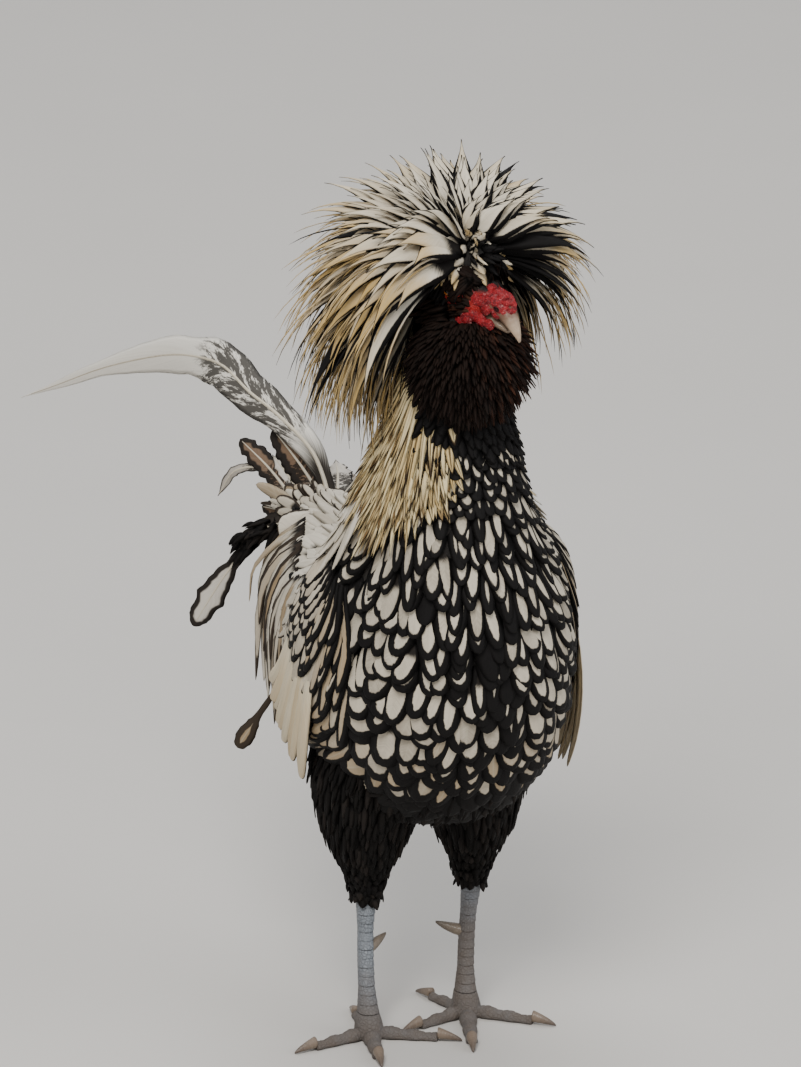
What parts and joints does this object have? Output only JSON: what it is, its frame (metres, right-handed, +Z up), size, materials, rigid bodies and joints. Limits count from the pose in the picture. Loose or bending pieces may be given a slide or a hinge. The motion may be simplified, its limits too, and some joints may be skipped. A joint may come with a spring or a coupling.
{
  "type": "polish crested rooster",
  "caption": "Life-size crested, bearded rooster standing still, laced breast, tall plume crest, one long curved sickle in the tail.",
  "frame": {"origin": "on the ground at the middle of the part's box", "axes": "+Z up; the bird faces -Y and its left side is +X; its head is turned about 20 degrees to its left"},
  "size_m": [0.1936, 0.4796, 0.5087],
  "materials": {
    "plume_white": "soft white vane edged with black",
    "plume_black": "soft brownish black plumage",
    "plume_cream": "glossy cream plume with dark edge",
    "red_skin": "fine-pored bare skin",
    "horn": "smooth pale horn",
    "shank_slate": "hard slate-blue scutes",
    "iris": "wet, clear cornea"
  },
  "bodies": {
    "root": {"beard": "plume_black", "claw_hind_l": "horn", "claw_hind_r": "horn", "claw_inner_l": "horn", "claw_inner_r": "horn", "claw_middle_l": "horn", "claw_middle_r": "horn", "claw_outer_l": "horn", "claw_outer_r": "horn", "comb": "red_skin", "crest": "plume_cream", "eye_l": "iris", "eye_r": "iris", "foot_l": "shank_slate", "foot_r": "shank_slate", "head": "red_skin", "lower_beak": "horn", "neck": "plume_cream", "shank_l": "shank_slate", "shank_r": "shank_slate", "sickle": "plume_white", "spur_l": "horn", "spur_r": "horn", "tail": "plume_white", "thigh_l": "plume_black", "thigh_r": "plume_black", "torso": "plume_white", "upper_beak": "horn", "wattle_l": "red_skin", "wattle_r": "red_skin", "wing_l": "plume_white", "wing_r": "plume_white"}
  },
  "joints": []
}
